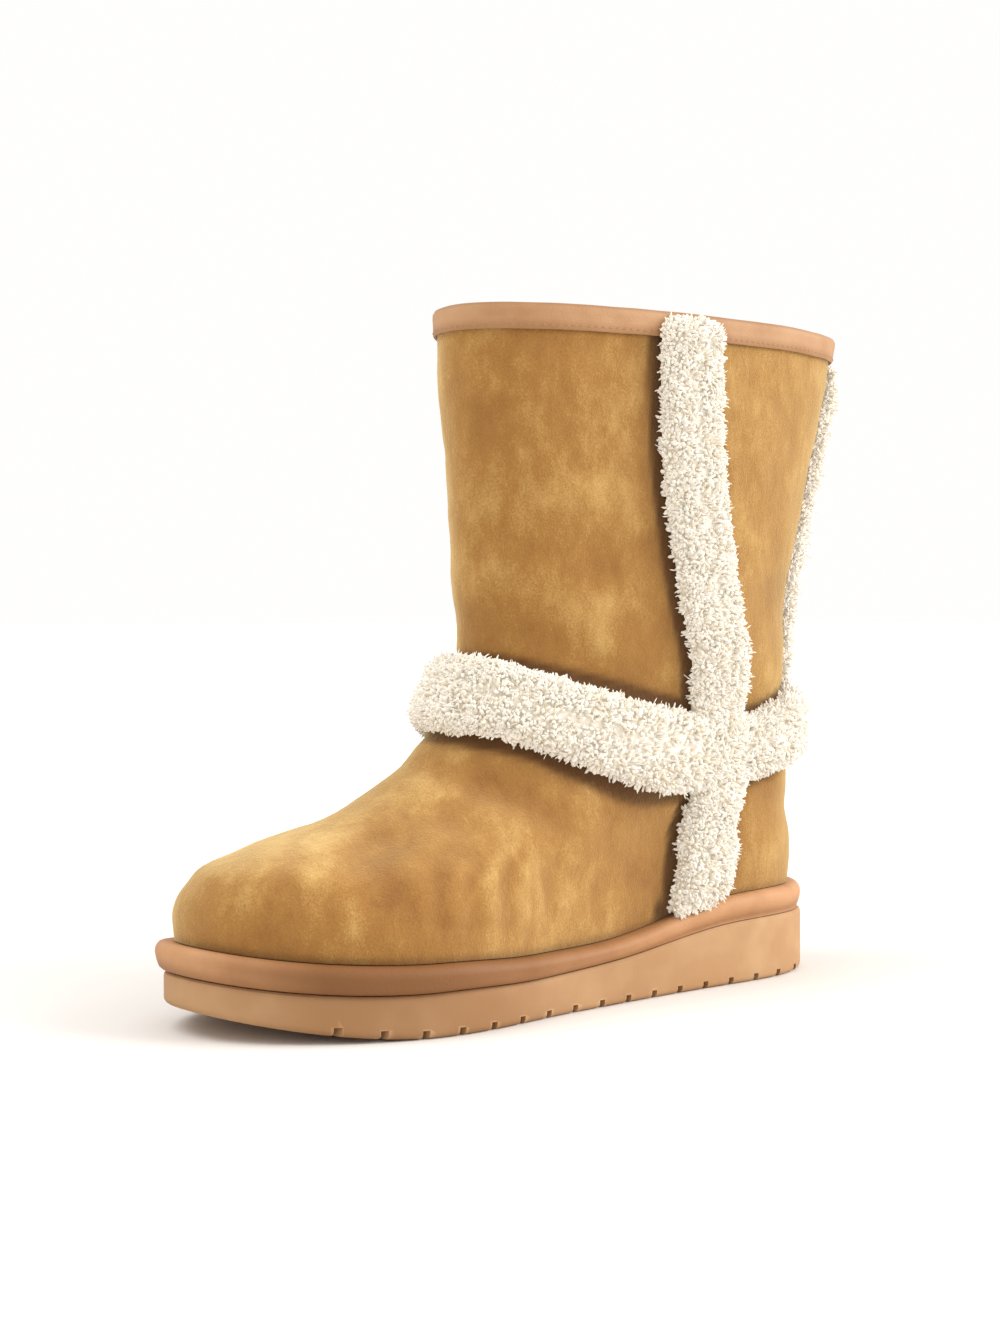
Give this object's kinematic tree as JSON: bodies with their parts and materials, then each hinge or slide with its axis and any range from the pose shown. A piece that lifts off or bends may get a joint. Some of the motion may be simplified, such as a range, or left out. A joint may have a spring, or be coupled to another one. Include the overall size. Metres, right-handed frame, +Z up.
{
  "type": "sheepskin boot",
  "caption": "Ankle-high sheepskin boot for the left foot, open at the collar, on a wedge foam outsole, with wool trim along its seams and round the ankle.",
  "frame": {"origin": "on the floor, under the middle of the boot's bounding box", "axes": "+Z up, -Y towards the toe, +X towards the outer side of the left foot"},
  "size_m": [0.1102, 0.313, 0.2575],
  "materials": {
    "outsole": "matt tan foam rubber",
    "midsole": "pinkish tan leather wrap",
    "upper": "chestnut suede, wool side in",
    "collar_binding": "pinkish tan leather edge",
    "insole": "cropped off-white wool",
    "side_strip_outer": "off-white wool",
    "side_strip_inner": "off-white wool",
    "ankle_band_front": "off-white wool",
    "ankle_band_back": "off-white wool",
    "back_strip": "off-white wool"
  },
  "bodies": {
    "root": {"outsole": "outsole", "midsole": "midsole", "upper": "upper", "collar_binding": "collar_binding", "insole": "insole", "side_strip_outer": "side_strip_outer", "side_strip_inner": "side_strip_inner", "ankle_band_front": "ankle_band_front", "ankle_band_back": "ankle_band_back", "back_strip": "back_strip"}
  },
  "joints": []
}
